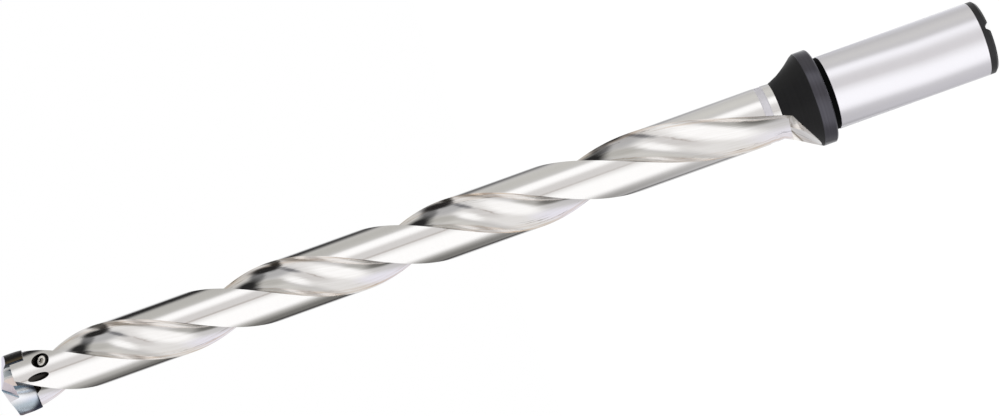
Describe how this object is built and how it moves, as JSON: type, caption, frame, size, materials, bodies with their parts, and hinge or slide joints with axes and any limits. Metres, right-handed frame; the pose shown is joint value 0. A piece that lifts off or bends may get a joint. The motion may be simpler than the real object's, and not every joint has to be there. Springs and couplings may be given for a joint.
{
  "type": "replaceable tip drill",
  "caption": "Long drill with helical flutes of changing lead, a flanged round shank, and a carbide cutting head seated between jaws and held by cross screws.",
  "frame": {"origin": "centre of the shank's end face, on the drill's axis", "axes": "+Z along the drill's axis from the shank to the point; +X and +Y across the drill, with +X near the direction of the cutting lips"},
  "size_m": [0.032, 0.032, 0.3427],
  "materials": {
    "body_steel": "bright ground shank and polished flutes, with a black cone, flange and end ring",
    "head_carbide": "ground and coated carbide, dark on the outside and bright on the ground faces",
    "screw_steel": "plain turned steel"
  },
  "bodies": {
    "root": {"drill_body": "body_steel", "drill_head": "head_carbide", "clamp_screw_a": "screw_steel", "clamp_screw_b": "screw_steel"}
  },
  "joints": []
}
